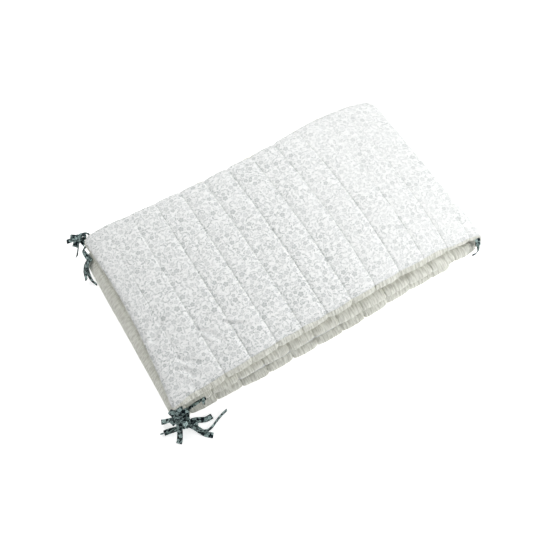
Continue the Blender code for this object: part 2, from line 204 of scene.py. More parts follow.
def unevenness(u, v, size_u, size_v, seed):
    """Smooth random heights from about -1 to 1, in patches of the given size."""
    count_u, count_v = 97, 89
    offset = 500.5
    heights = np.random.default_rng(seed).uniform(-1, 1, (count_u, count_v))
    i, j = np.broadcast_arrays(u / size_u + offset, v / size_v + offset)
    i0, j0 = np.floor(i).astype(int), np.floor(j).astype(int)
    s, t = ease(i - i0), ease(j - j0)
    i0, i1 = i0 % count_u, (i0 + 1) % count_u
    j0, j1 = j0 % count_v, (j0 + 1) % count_v
    near = heights[i0, j0] * (1 - t) + heights[i0, j1] * t
    far = heights[i1, j0] * (1 - t) + heights[i1, j1] * t
    return near * (1 - s) + far * s


def from_stitches(along):
    """Distance to the nearest row of stitches, which row that is, and which channel this is."""
    away = np.abs(np.asarray(along)[..., None] - stitch_rows)
    nearest = np.argmin(away, axis=-1)
    return np.min(away, axis=-1), nearest, nearest + (along > stitch_rows[nearest])


def puff(along, share):
    """0 at a row of stitches and about 1 in the middle of a channel.

    share is the place across the strip, from -1 at the front to 1 at the back."""
    along = np.asarray(along, float)
    ahead = np.searchsorted(stitch_rows, along)
    sunk = 0
    for row, reach in ((ahead - 1, SLOW_REACH_AFTER), (ahead, SLOW_REACH_BEFORE)):
        on_strip = (row >= 0) & (row < len(stitch_rows))
        away = np.abs(along - stitch_rows[np.clip(row, 0, len(stitch_rows) - 1)])
        away = np.where(on_strip, away, 1.0)
        depths = np.array(ROW_DEPTHS)[np.clip(row, 0, len(ROW_DEPTHS) - 1)]
        front, halfway, back = np.moveaxis(depths, -1, 0)
        depth = halfway + np.where(share < 0, (halfway - front) * share, (back - halfway) * share)
        steep, slow = np.exp(-away / STEEP_REACH), np.exp(-away / reach)
        sunk = sunk + depth * (STEEP_SHARE * steep + SLOW_SHARE * slow)
    fuller = 1 + 0.05 * np.sin(2.3 * ahead)
    return (1 - sunk) * fuller


def width_at(along):
    """The y of the strip's front and back edges."""
    front, back = from_table(EDGES, 1, along), from_table(EDGES, 2, along)
    front_drawn, back_drawn = 1 - puff(along, -1), 1 - puff(along, 1)
    return front + ROW_PULLS_SIDE * front_drawn, back - 0.5 * ROW_PULLS_SIDE * back_drawn


def slide(along, share):
    """How far the cloth has slid onwards, here across the strip."""
    front, halfway, back = (from_table(SLIDES, k, along) for k in (1, 2, 3))
    return halfway + (back - front) / 2 * share + ((back + front) / 2 - halfway) * share**2


def round_corners(along, inset, side):
    """Places near a corner of the strip, moved on to its round."""
    along, inset, side = (np.array(a, float) for a in np.broadcast_arrays(along, inset, side))
    for (end, which), radius in CORNERS.items():
        away = along if end == "start" else STRIP_LENGTH - along
        near = (away < radius) & (inset < radius) & (side == which)
        s, t = 1 - away[near] / radius, 1 - inset[near] / radius
        keep = np.maximum(s, t) / np.maximum(np.hypot(s, t), 1e-9)
        away_now = radius * (1 - s * keep)
        along[near] = away_now if end == "start" else STRIP_LENGTH - away_now
        inset[near] = radius * (1 - t * keep)
    return along, inset


def edge_roll(along, side):
    """How far the printed panel's edge has rolled up on to the face, from 0 to 1.

    It has rolled unevenly along the front of the top layer, and most on the bottom layer."""
    top_ends, fades_over = 0.560, 0.035
    front = 0.5 - side / 2
    top = rise(along, 0, fades_over) * (0.40 + 0.16 * unevenness(along, 0 * along, 0.022, 1, 31))
    top = top * rise(-along, -top_ends, fades_over)
    bottom = rise(along, left_fold[0], 0.05)
    return np.maximum(front * top, bottom * (0.45 + 0.33 * front))


def close_mouth(loft, place, share):
    """The muslin swells at the front of the right fold: its two layers meet there and hide the hollow."""
    mouth_from, mouth_over, gap = 0.86, 0.08, 0.0016
    x = np.interp(place, line_length, line_x)
    near = drooped(x) * (place < right_fold[1] + 0.1)
    top, middle, _ = LAYERS
    meeting = ((top[0] - middle[0]) * (1 - near) + (top[1] - middle[1]) * near) / 2 - gap / 2
    return loft + np.maximum(meeting - loft, 0) * near * rise(-share, mouth_from, mouth_over)


def slump(along, share):
    """The free end of the top layer is thinner, over a shorter length towards the back."""
    thinner_by, over, shorter_by = 0.30, 0.075, 0.025
    return 1 - thinner_by * (1 - rise(along, 0, over - shorter_by * share))


def surface(rows, columns, face, rolled=False):
    """The strip's outer surface on its face or its back: a grid of points, with cloth coordinates.

    rows are (along, share of the loft left by the round of the end), columns (side, angle on the rim, share
    of the flat part's half width)."""
    along, end_share = (np.array(values)[:, None] for values in zip(*rows))
    side, angle, flat_share = (np.array(values, float)[None, :] for values in zip(*columns))
    if rolled:
        angle = angle + (pi / 2 - angle) * edge_roll(along, side)
    front, back = width_at(along)
    middle, half_width = (front + back) / 2, (back - front) / 2
    inset = RIM * (1 - np.cos(angle)) + ROW_PINCHES_RIM * (1 - puff(along, side)) * np.cos(angle) ** 2
    place, inset = round_corners(along, inset + 0 * along, side)
    share = side * (1 - inset / half_width) * flat_share
    v = share * half_width + side * RIM * (pi / 2 - angle) * RIM_CLOTH
    place = place + slide(place, share)
    loft = (HALF_STITCHED + (HALF_LOFT - HALF_STITCHED) * puff(along, share)) * end_share
    if face:
        loft = loft * slump(along, share)
    inside = left_fold if face else right_fold
    loft = np.minimum(loft, HALF_LOFT + (HALF_INNER_FOLD - HALF_LOFT) * in_fold(place, inside))
    if not face:
        loft = close_mouth(loft, place, share)
        swollen = np.minimum(loft * UNDERSIDE_SWELL, HALF_LOFT * UNDERSIDE_SWELL)
        loft = np.where(place > left_fold[1] - 0.01, swollen, loft)
    sign = 1 if face else -1
    height = sign * loft * np.sin(angle) * (1 - LOWER_AT_SIDES * share**2)
    point, onward = on_fold(place)
    x = point[0] - onward[1] * height
    z = point[1] + onward[0] * height
    y = middle + share * half_width + 0 * place
    return np.stack([x, y, z], axis=-1), along + 0 * v, v


def normals_of(grid, face):
    onward, across = np.gradient(grid, axis=0), np.gradient(grid, axis=1)
    normal = np.cross(onward, across)
    normal /= np.maximum(np.linalg.norm(normal, axis=2, keepdims=True), 1e-12)
    return normal if face else -normal


# The mesh has a row at each of these lengths after every row of stitches.
FINE = (0, 0.0006, 0.0015, 0.003, 0.0055, 0.009, 0.013, 0.018, 0.0235, 0.029, 0.0345, 0.0395, 0.0432,
        0.0455, 0.0473, 0.0486, 0.0494)
COARSE = (0, 0.004, 0.012, 0.025, 0.038, 0.046)


def rows_of(steps, from_along, to_along):
    starts = (stitch_rows[0] - CHANNEL, *stitch_rows)
    places = {round(float(start + step), 6) for start in starts for step in steps}
    lowest, highest = max(from_along, RIM), min(to_along, STRIP_LENGTH - RIM)
    return [(place, 1.0) for place in sorted(places) if lowest < place < highest]


def end_rows(angles):
    first = [(RIM * (1 - cos(a)), sin(a)) for a in angles]
    return first, [(STRIP_LENGTH - along, share) for along, share in reversed(first)]


def columns_of(rim_angles, flat_shares):
    front = [(-1, a, 1) for a in rim_angles]
    between = [(-1, pi / 2, -s) if s < 0 else (1, pi / 2, s) for s in flat_shares]
    return front + between + [(1, a, 1) for a in reversed(rim_angles)]


def mesh_of(name, grids, closed=False):
    """A mesh from grids of points, each with its cloth coordinates and whether its faces turn round.

    A closed one also has the hidden slits filled where a fine grid meets a coarse one."""
    points, faces, cloth, start = [], [], [], 0
    for grid, u, v, flip in grids:
        n, m = grid.shape[:2]
        index = start + np.arange(n * m).reshape(n, m)
        quads = np.stack([index[:-1, :-1], index[1:, :-1], index[1:, 1:], index[:-1, 1:]], axis=-1)
        faces.append(quads.reshape(-1, 4)[:, ::-1] if flip else quads.reshape(-1, 4))
        points.append(grid.reshape(-1, 3))
        cloth.append(np.stack([u, v], axis=-1).reshape(-1, 2))
        start += n * m
    points, faces, cloth = (np.concatenate(parts) for parts in (points, faces, cloth))
    mesh = bpy.data.meshes.new(name)
    mesh.from_pydata(points.tolist(), [], faces.tolist())
    layer = mesh.uv_layers.new(name="cloth")
    layer.data.foreach_set("uv", cloth[faces.reshape(-1)].astype(np.float32).reshape(-1))
    shape = bmesh.new()
    shape.from_mesh(mesh)
    bmesh.ops.remove_doubles(shape, verts=shape.verts, dist=1e-6)
    if closed:
        bmesh.ops.holes_fill(shape, edges=[edge for edge in shape.edges if edge.is_boundary])
    shape.to_mesh(mesh)
    shape.free()
    mesh.shade_smooth()
    return mesh


def add_piece(name, mesh, *materials):
    piece = bpy.data.objects.new(name, mesh)
    scene.collection.objects.link(piece)
    for finish in materials:
        mesh.materials.append(finish)
    return piece


def new_material(name, colour, roughness):
    made = bpy.data.materials.new(name)
    made.use_nodes = True
    surface_node = made.node_tree.nodes["Principled BSDF"]
    surface_node.inputs["Base Color"].default_value = (*colour, 1)
    surface_node.inputs["Roughness"].default_value = roughness
    surface_node.inputs["Specular IOR Level"].default_value = 0.2
    return made, made.node_tree, surface_node


def any_node(tree, kind, settings=(), inputs=()):
    """A node with its settings, and its inputs set to a value or linked to another node's output."""
    made = tree.nodes.new(kind)
    for key, value in dict(settings).items():
        setattr(made, key, value)
    for key, value in dict(inputs).items():
        if isinstance(value, bpy.types.NodeSocket):
            tree.links.new(value, made.inputs[key])
        else:
            made.inputs[key].default_value = value
    return made


def node(tree, kind, settings=(), inputs=()):
    return any_node(tree, "ShaderNode" + kind, settings, inputs)


def sums(tree, operation, *values):
    return node(tree, "Math", {"operation": operation}, dict(enumerate(values))).outputs[0]


def times(tree, first, second):
    return sums(tree, "MULTIPLY", first, second)


def away_from(tree, value, middle):
    return sums(tree, "ABSOLUTE", sums(tree, "SUBTRACT", value, middle))


def mix(tree, share, first, second):
    return node(tree, "Mix", {}, {0: share, 2: first, 3: second}).outputs[0]


def mix_colours(tree, share, first, second, blend="MIX"):
    settings = {"data_type": "RGBA", "blend_type": blend}
    return node(tree, "Mix", settings, {0: share, 6: first, 7: second}).outputs[2]


def vectors(tree, operation, first, second):
    return node(tree, "VectorMath", {"operation": operation}, {0: first, 1: second}).outputs[0]


def parts_of(tree, place):
    return node(tree, "SeparateXYZ", {}, {0: place}).outputs


def cloth_place(tree, scale_u=1.0, scale_v=1.0):
    uv = node(tree, "UVMap", {"uv_map": "cloth"}).outputs[0]
    return vectors(tree, "MULTIPLY", uv, (scale_u, scale_v, 0))


def noise(tree, place, scale, detail=2.0):
    inputs = {"Vector": place, "Scale": scale, "Detail": detail}
    return node(tree, "TexNoise", {"noise_dimensions": "2D"}, inputs).outputs[0]


def remap(tree, value, low, high, to_low=0.0, to_high=1.0):
    inputs = {"Value": value, "From Min": low, "From Max": high, "To Min": to_low, "To Max": to_high}
    return node(tree, "MapRange", {"interpolation_type": "SMOOTHSTEP"}, inputs).outputs[0]


def weave(tree, thread):
    """Height of a plain weave with threads this far apart."""
    parts = parts_of(tree, cloth_place(tree))
    warp, weft = (sums(tree, "SINE", times(tree, parts[k], 2 * pi / thread)) for k in (0, 1))
    return times(tree, warp, weft)


def bump(tree, height, distance, strength=1.0, normal=None):
    inputs = {"Height": height, "Distance": distance, "Strength": strength}
    if normal is not None:
        inputs["Normal"] = normal
    return node(tree, "Bump", {}, inputs).outputs[0]


# The muslin's colour, with painted shade in the hollows of its crinkles and painted light on their ridges.
MUSLIN_PAINTED_SHADE_HOLLOWS = (0.62, 0.62, 0.555, 1)
MUSLIN_PAINTED_LIT_RIDGES = (0.89, 0.90, 0.83, 1)
MUSLIN_BLOTCHES = (0.95, 0.95, 0.94, 1)
CRINKLE_HEIGHT = 0.0027
MUSLIN_THREAD, MUSLIN_THREAD_HEIGHT = 0.0009, 0.00008


def make_muslin():
    """Undyed double gauze: a loose weave, crinkled in short ridges that run across the strip.

    Round the left fold it is drawn tight: there it is smoother, and its ridges run round the fold."""
    made, tree, cloth = new_material("muslin", (0.66, 0.65, 0.59), 0.95)
    along = parts_of(tree, cloth_place(tree))[0]
    fold_middle, fold_half = sum(left_fold) / 2, (left_fold[1] - left_fold[0]) / 2
    from_fold = away_from(tree, along, float(fold_middle))
    tight = remap(tree, from_fold, float(fold_half), float(fold_half + 0.03), 1.0, 0.0)
    round_fold = noise(tree, cloth_place(tree, 0.30, 1), 420)
    across = noise(tree, cloth_place(tree, 1, 0.13), 300)
    ridges = mix(tree, tight, across, round_fold)
    lumps = noise(tree, cloth_place(tree, 1, 0.5), 90)
    creases = away_from(tree, noise(tree, cloth_place(tree, 1, 0.10), 190), 0.5)
    creases = sums(tree, "ADD", creases, times(tree, tight, 0.05))
    ribbed = times(tree, ridges, remap(tree, tight, 0, 1, 0.65, 0.56))
    lumpy = times(tree, lumps, remap(tree, tight, 0, 1, 0.35, 0.16))
    crinkle = sums(tree, "ADD", ribbed, lumpy)
    crinkle = sums(tree, "ADD", crinkle, times(tree, remap(tree, creases, 0.0, 0.045), 0.10))
    folds = bump(tree, crinkle, CRINKLE_HEIGHT, 0.9)
    threads = bump(tree, weave(tree, MUSLIN_THREAD), MUSLIN_THREAD_HEIGHT, 0.6, folds)
    tree.links.new(threads, cloth.inputs["Normal"])
    # Painted shade: the colour is darker in the crinkles' hollows and along their creases and lighter on
    # their ridges; round the left fold it is drawn a little towards a darker middle tone.
    shade = times(tree, remap(tree, ridges, 0.30, 0.66), remap(tree, creases, 0.0, 0.05, 0.5, 1.0))
    shade = mix(tree, times(tree, tight, 0.20), shade, 0.40)
    painted_crinkle_shade = mix_colours(tree, shade, MUSLIN_PAINTED_SHADE_HOLLOWS, MUSLIN_PAINTED_LIT_RIDGES)
    blotches = remap(tree, noise(tree, cloth_place(tree), 14, 3.0), 0.3, 0.7)
    blotched = mix_colours(tree, blotches, painted_crinkle_shade, MUSLIN_BLOTCHES, "MULTIPLY")
    tree.links.new(blotched, cloth.inputs["Base Color"])
    cloth.inputs["Sheen Weight"].default_value = 0.15
    cloth.inputs["Sheen Roughness"].default_value = 0.6
    return made


def gathers(u, v, size, reach, seed):
    """Small folds that run away from each row of stitches, different on its two sides."""
    away, nearest, channel = from_stitches(u)
    which = nearest * 7.3 + channel * 3.1
    return unevenness(which, v, 1, size, seed) * np.exp(-away / reach)


def crumple(u, v):
    """How far the loose muslin stands off its plain shape."""
    fine = 0.0005 * unevenness(u, v, 0.0052, 0.030, 11)
    broad = 0.0007 * unevenness(u, v, 0.030, 0.045, 12)
    return fine + broad + 0.0013 * gathers(u, v, 0.0085, 0.008, 13)


def make_pad():
    rim_angles = [radians(a) for a in (0, 9, 18, 27, 36, 46, 57, 68, 79, 90)]
    first, last = end_rows(rim_angles)
    rows = first + rows_of(FINE, 0, STRIP_LENGTH) + last
    flat = np.linspace(-1, 1, 101)[1:-1]
    columns = columns_of(rim_angles, flat)
    sides, angles = (np.array([column[k] for column in columns])[None, :] for k in (0, 1))
    back, u, v = surface(rows, columns, False)
    face, face_u, face_v = surface(rows, columns, True)
    most_at_rim = (0.45 + 0.75 * np.cos(angles))[..., None]
    back_moved = back + normals_of(back, False) * crumple(u, v)[..., None] * most_at_rim
    # Under the panel the face lies deeper, so that it doesn't show through in the panel's creases.
    panel_from = PANEL_EDGE + (pi / 2 - PANEL_EDGE) * edge_roll(face_u[:, :1], sides)
    under = rise(angles - panel_from, -radians(6), radians(10))
    at_rim, further_in = 0.0013, 0.0042
    sunk = (at_rim + further_in * (angles > radians(85))) * under
    face_height = crumple(face_u, face_v) * (1 - under) * 1.2 - sunk
    face_moved = face + normals_of(face, True) * face_height[..., None]
    for grid in (back_moved, face_moved):
        grid[..., 2] = np.maximum(grid[..., 2], 0.0)
    for k in (0, -1):
        face_moved[:, k] = back_moved[:, k]
        face_moved[k] = back_moved[k]
    # It needs fewer points there too, so only some columns are kept between the strip's two ends.
    rims, far_rim, ends = len(rim_angles), len(rim_angles) + len(flat), len(first) - 2
    kept = np.r_[0:rims, rims + 3:far_rim:7, far_rim:far_rim + rims]
    inner = slice(ends - 1, len(rows) - ends + 1)
    grids = [(back_moved, u, v, True)]
    for part in (slice(0, ends), slice(-ends, None)):
        grids.append((face_moved[part], face_u[part], face_v[part], False))
    grids.append((face_moved[inner][:, kept], face_u[inner][:, kept], face_v[inner][:, kept], False))
    return mesh_of("quilted_pad_cloth", grids, closed=True)


muslin = make_muslin()
pad = add_piece("quilted_pad_cloth", make_pad(), muslin)
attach(pad, "root")
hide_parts("quilted_pad")

# The printed panel: one sheet of white cotton over the whole face, quilted down with the pad. Its edge is
# turned in and sewn to the muslin a little above the middle of the side.
CREASES = (
    # along_from, y_from, along_to, y_to, width, depth
    (0.1240, -0.1280, 0.0920, -0.0800, 0.0030, 0.0045),
    (0.0780, -0.1500, 0.0400, -0.1080, 0.0034, 0.0023),
    (0.0120, -0.0620, 0.0560, -0.0350, 0.0062, 0.0044),
    (0.1320, -0.0900, 0.1700, -0.1180, 0.0026, 0.0036),
    (0.1440, 0.0370, 0.1780, 0.0650, 0.0030, 0.0020),
    (0.3600, 0.1550, 0.4000, 0.1200, 0.0040, -0.0016),
    (0.2460, -0.0300, 0.2600, 0.0100, 0.0030, 0.0014),
    (0.0560, -0.1560, 0.0300, -0.1250, 0.0030, 0.0022),
    (0.0240, -0.1600, 0.0500, -0.1480, 0.0028, 0.0020),
    (0.1900, -0.1620, 0.2100, -0.1380, 0.0026, 0.0018),
    (0.3780, 0.0560, 0.4080, 0.0400, 0.0030, 0.0013),
    (0.0500, 0.1700, 0.0850, 0.1300, 0.0040, 0.0014),
)
HEM = (
    # outwards, inwards: how the edge turns in
    (0, 0),
    (0.0004, 0.0003),
    (0.0004, 0.0009),
    (-0.0003, 0.0013),
    (-0.0030, 0.0016),
)


def crease_depth(u, v):
    """How far the creases sink the sheet: each a soft trough with a low ridge beside it."""
    sunk = 0 * u
    for u0, v0, u1, v1, width, depth in CREASES:
        run = np.array([u1 - u0, v1 - v0])
        length = np.hypot(*run)
        t = ((u - u0) * run[0] + (v - v0) * run[1]) / length**2
        aside = ((v - v0) * run[0] - (u - u0) * run[1]) / length
        fade = ease(np.clip(t * 4 + 0.3, 0, 1)) * ease(np.clip((1 - t) * 4 + 0.3, 0, 1))
        wander = aside + 0.0016 * np.sin(t * 5 + u0 * 90)
        trough = np.exp(-((wander / width) ** 2))
        ridge = np.exp(-(((wander - 2 * width) / width) ** 2))
        sunk += fade * depth * (trough - 0.6 * ridge)
    return sunk


def panel_height(u, v):
    """How far the sheet stands off the pad: lumps, puckers along its edge, gathers and creases."""
    lumps = 0.0007 * unevenness(u, v, 0.032, 0.050, 21) + 0.0004 * unevenness(u, v, 0.012, 0.016, 22)
    at_edge = rise(np.abs(v), 0.155, 0.022)
    puckers = 0.0006 * at_edge * unevenness(u, v, 0.0042, 0.040, 24)
    return lumps + puckers + 0.0005 * gathers(u, v, 0.012, 0.006, 23) - crease_depth(u, v)


def make_panel():
    rim_angles = [PANEL_EDGE] + [radians(a) for a in (41, 50, 60, 70, 80, 90)]
    first, last = end_rows(rim_angles)
    seen = right_fold[1] + 0.01
    rows = first + rows_of(FINE, 0, seen) + rows_of(COARSE, seen, STRIP_LENGTH) + last
    columns = columns_of(rim_angles, np.linspace(-1, 1, 147)[1:-1])
    grid, u, v = surface(rows, columns, True, rolled=True)
    out = normals_of(grid, True)
    grid = grid + out * (0.0003 + panel_height(u, v))[..., None]
    n, m = grid.shape[:2]
    ring = [(i, 0) for i in range(n - 1)] + [(n - 1, j) for j in range(m - 1)]
    ring += [(i, m - 1) for i in range(n - 1, 0, -1)] + [(0, j) for j in range(m - 1, 0, -1)]
    i, j = np.array(ring + ring[:1]).T
    inner = grid[np.clip(i, 1, n - 2), np.clip(j, 1, m - 2)]
    edge, normal = grid[i, j], out[i, j]
    away = edge - inner
    away /= np.linalg.norm(away, axis=1, keepdims=True)
    hem = np.stack([edge + away * outwards - normal * inwards for outwards, inwards in HEM], axis=1)
    hem_u, hem_v = (np.repeat(a[i, j][:, None], hem.shape[1], axis=1) for a in (u, v))
    return mesh_of("printed_panel_cloth", [(grid, u, v, False), (hem, hem_u, hem_v, True)])


def motif_cells(tree, cell, shift, randomness):
    """One motif to a cell: places from the motif's middle, and the cell's three random values."""
    place = vectors(tree, "ADD", cloth_place(tree), shift)
    inputs = {"Vector": place, "Scale": 1 / cell, "Randomness": randomness}
    cells = node(tree, "TexVoronoi", {"voronoi_dimensions": "2D"}, inputs).outputs
    local = vectors(tree, "SUBTRACT", place, cells["Position"])
    return local, node(tree, "SeparateColor", {}, {0: cells["Color"]}).outputs


def blossoms(tree, cell, radius, petals, seed):
    """Small round blossoms: how much of the print covers a point, a random value, and the place as a
    share of the blossom's radius."""
    local, chance = motif_cells(tree, cell, (seed, seed * 0.7, 0), 0.75)
    x, y, _ = parts_of(tree, local)
    away = node(tree, "VectorMath", {"operation": "LENGTH"}, {0: local}).outputs["Value"]
    turn = sums(tree, "ADD", sums(tree, "ARCTAN2", y, x), times(tree, chance[0], 2 * pi))
    wave = sums(tree, "COSINE", times(tree, turn, petals))
    lobes = sums(tree, "MULTIPLY_ADD", wave, 0.07, 1.0)
    size = sums(tree, "MULTIPLY_ADD", chance[1], 0.45 * radius, 0.72 * radius)
    ratio = sums(tree, "DIVIDE", away, times(tree, size, lobes))
    petal = remap(tree, ratio, 0.84, 1.10, 1, 0)
    heart = remap(tree, ratio, 0.12, 0.26, 0.55, 1)
    veins = sums(tree, "MULTIPLY_ADD", wave, 0.18, 0.82)
    return times(tree, times(tree, petal, heart), veins), chance[2], ratio


def leaves(tree, cell, long, wide, seed):
    """Pairs of small leaves on a short stem, turned at random: the cover at a point, and a random value."""
    local, chance = motif_cells(tree, cell, (seed, -seed, 0), 0.85)
    angle = times(tree, chance[0], 2 * pi)
    turned = node(tree, "VectorRotate", {"rotation_type": "Z_AXIS"}, {"Vector": local, "Angle": angle})
    x, y, _ = parts_of(tree, turned.outputs[0])
    out = sums(tree, "ABSOLUTE", x)
    along = sums(tree, "DIVIDE", sums(tree, "SUBTRACT", out, long * 0.95), long)
    aside = sums(tree, "DIVIDE", away_from(tree, y, times(tree, out, 0.45)), wide)
    lens = sums(tree, "ADD", aside, sums(tree, "POWER", sums(tree, "ABSOLUTE", along), 2))
    leaf = remap(tree, lens, 0.75, 1.1, 1, 0)
    stem_length = sums(tree, "ABSOLUTE", sums(tree, "DIVIDE", y, long * 1.3))
    stem_near = sums(tree, "ADD", sums(tree, "DIVIDE", out, 0.0003), sums(tree, "POWER", stem_length, 4))
    return sums(tree, "MAXIMUM", leaf, remap(tree, stem_near, 0.7, 1.3, 0.7, 0)), chance[2]


def tendrils(tree, scale, wide):
    """Thin curling stems."""
    contour = away_from(tree, noise(tree, cloth_place(tree), scale, 1.0), 0.5)
    return remap(tree, contour, wide * 0.5, wide * 1.5, 1, 0)


def by_chance(tree, cover, chance, least, most):
    """Some motifs are printed more faintly than others."""
    return times(tree, cover, remap(tree, chance, 0, 1, least, most))


COTTON_GROUND = (0.885, 0.895, 0.888, 1)
COTTON_INK = (0.46, 0.485, 0.482, 1)
COTTON_THREAD, COTTON_THREAD_HEIGHT = 0.0006, 0.00005


def make_printed_cotton():
    """White plain-weave cotton with a small all-over print of blossoms and leaves in pale cool greys."""
    made, tree, cloth = new_material("printed_cotton", (0.86, 0.87, 0.88), 0.85)
    big, big_chance, ratio = blossoms(tree, 0.0170, 0.0045, 5, 3.1)
    small, small_chance, _ = blossoms(tree, 0.0112, 0.0024, 4, 7.7)
    leaf, leaf_chance = leaves(tree, 0.0094, 0.0034, 0.0016, 5.3)
    sprig, sprig_chance = leaves(tree, 0.0076, 0.0026, 0.0012, 9.9)
    broken = remap(tree, noise(tree, cloth_place(tree), 150, 1.0), 0.48, 0.56)
    stems = times(tree, tendrils(tree, 80, 0.012), broken)
    filler = by_chance(tree, leaf, leaf_chance, 0.55, 0.95)
    for fainter in (
        by_chance(tree, sprig, sprig_chance, 0.30, 0.75),
        by_chance(tree, small, small_chance, 0.30, 0.75),
        times(tree, stems, 0.25),
    ):
        filler = sums(tree, "MAXIMUM", filler, fainter)
    flower = by_chance(tree, big, big_chance, 0.6, 1.05)
    clear = remap(tree, ratio, 1.05, 1.35)
    ink = sums(tree, "MAXIMUM", flower, times(tree, filler, clear))
    patchy = remap(tree, noise(tree, cloth_place(tree), 24), 0.35, 0.65, 0.88, 1.08)
    along = parts_of(tree, cloth_place(tree))[0]
    # Painted light: the print grows fainter towards the right fold, where the strong light washes it out.
    print_washed_out_by_light = remap(tree, along, 0.25, 0.55, 1.0, 0.68)
    worn = remap(tree, noise(tree, cloth_place(tree), 900), 0.3, 0.6, 0.75, 1.0)
    for share in (patchy, print_washed_out_by_light, worn):
        ink = times(tree, ink, share)
    tree.links.new(mix_colours(tree, ink, COTTON_GROUND, COTTON_INK), cloth.inputs["Base Color"])
    slack = bump(tree, noise(tree, cloth_place(tree), 120, 3.0), 0.0009, 0.5)
    threads = bump(tree, weave(tree, COTTON_THREAD), COTTON_THREAD_HEIGHT, 0.5, slack)
    tree.links.new(threads, cloth.inputs["Normal"])
    cloth.inputs["Sheen Weight"].default_value = 0.1
    return made


printed_cotton = make_printed_cotton()
panel = add_piece("printed_panel_cloth", make_panel(), printed_cotton)
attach(panel, "root")
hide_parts("printed_panel")

# The quilting stitches: rows of white cotton thread across the strip, on its face and its back, each stitch
# a small grain of thread that lies in the bottom of its groove.
STITCH_PITCH = 0.0040
STITCH_LENGTH = 0.0029
THREAD = 0.00042


def stitch_lines():
    """A curve along each row of stitches, on the face and on the back."""
    curve = bpy.data.curves.new("stitch_lines", "CURVE")
    curve.dimensions = "3D"
    rim_angles = [radians(a) for a in (52, 64, 77, 90)]
    columns = columns_of(rim_angles, np.linspace(-1, 1, 75)[1:-1])
    for row in stitch_rows:
        for face in (True, False):
            rows = [(row - 0.001, 1.0), (row, 1.0), (row + 0.001, 1.0)]
            grid, u, v = surface(rows, columns, face, rolled=face)
            out = normals_of(grid, face)
            lift = 0.0002 + panel_height(u, v) if face else 0.0006 * gathers(u, v, 0.0085, 0.007, 13)
            line = (grid + out * lift[..., None])[1]
            line[:, 2] = np.maximum(line[:, 2], THREAD)
            spline = curve.splines.new("POLY")
            spline.points.add(len(line) - 1)
            for point, place in zip(spline.points, line):
                point.co = (*place, 1)
    return curve


def stitch_tree(thread_material):
    """Geometry Nodes: a small grain of thread at even steps along each curve."""
    tree = bpy.data.node_groups.new("stitches", "GeometryNodeTree")
    tree.interface.new_socket("Geometry", in_out="INPUT", socket_type="NodeSocketGeometry")
    for name in ("Pitch", "Length", "Thickness"):
        tree.interface.new_socket(name, in_out="INPUT", socket_type="NodeSocketFloat")
    tree.interface.new_socket("Geometry", in_out="OUTPUT", socket_type="NodeSocketGeometry")
    given = any_node(tree, "NodeGroupInput").outputs
    steps = any_node(tree, "GeometryNodeResampleCurve", {"mode": "LENGTH"},
                     {"Curve": given["Geometry"], "Length": given["Pitch"]}).outputs[0]
    way = any_node(tree, "GeometryNodeInputTangent").outputs[0]
    turned = any_node(tree, "FunctionNodeAlignRotationToVector", {"axis": "Z"}, {"Vector": way}).outputs[0]
    grain = any_node(tree, "GeometryNodeMeshIcoSphere", {},
                     {"Radius": 0.5, "Subdivisions": 1}).outputs["Mesh"]
    size = any_node(tree, "ShaderNodeCombineXYZ", {},
                    {0: given["Thickness"], 1: given["Thickness"], 2: given["Length"]}).outputs[0]
    placed = any_node(tree, "GeometryNodeInstanceOnPoints", {},
                      {"Points": steps, "Instance": grain, "Rotation": turned, "Scale": size}).outputs[0]
    real = any_node(tree, "GeometryNodeRealizeInstances", {}, {0: placed}).outputs[0]
    inputs = {"Geometry": real, "Material": thread_material}
    finished = any_node(tree, "GeometryNodeSetMaterial", {}, inputs).outputs[0]
    any_node(tree, "NodeGroupOutput", {}, {0: finished})
    return tree


def make_stitches():
    thread, _, _ = new_material("thread", (0.80, 0.80, 0.78), 0.7)
    maker = bpy.data.objects.new("stitch_maker", stitch_lines())
    scene.collection.objects.link(maker)
    stitching = maker.modifiers.new("stitches", "NODES")
    stitching.node_group = stitch_tree(thread)
    sizes = {"Pitch": STITCH_PITCH, "Length": STITCH_LENGTH, "Thickness": THREAD}
    for socket in stitching.node_group.interface.items_tree:
        if socket.in_out == "INPUT" and socket.name in sizes:
            stitching[socket.identifier] = sizes[socket.name]
    graph = bpy.context.evaluated_depsgraph_get()
    mesh = bpy.data.meshes.new_from_object(maker.evaluated_get(graph))
    mesh.name = "quilting_stitches"
    bpy.data.objects.remove(maker)
    return mesh


stitches = add_piece("quilting_stitches", make_stitches())
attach(stitches, "root")

# The ties: narrow tapes of dark blue-green cotton with a small pale print, folded lengthwise and sewn along
# both edges. Each is sewn into the strip's side, and is knotted with its free ends lying out.
TAPE_WIDTH = 0.010
TAPE_THICKNESS = 0.0012
TAPE_SECTION = (
    # place across the half width, half thickness: the sewn edges stand a little proud of the middle
    (-1.00, 0.00), (-0.96, 0.75), (-0.82, 1.00), (-0.66, 0.62), (-0.30, 0.72), (0.00, 0.78),
    (0.30, 0.72), (0.66, 0.62), (0.82, 1.00), (0.96, 0.75), (1.00, 0.00),
)
TIES = (
    # name, along, side, leaves, slope, knot_x, knot_y, knot_z, knot_size
    ("tie_front_top", 0.012, -1, 265, 0, -0.2985, -0.1855, 0.0455, 0.0066),
    ("tie_front_fold", 1.214, -1, 260, 90, -0.2898, -0.1950, 0.0150, 0.0060),
    ("tie_back_top", 0.018, 1, 120, 90, -0.2990, 0.1970, 0.0580, 0.0062),
    ("tie_back_fold", 1.231, 1, 100, 90, -0.2995, 0.1525, 0.0458, 0.0040),
    ("tie_right_fold", 0.612, -1, 270, 0, 0.3165, -0.1855, 0.0480, 0.0026),
)
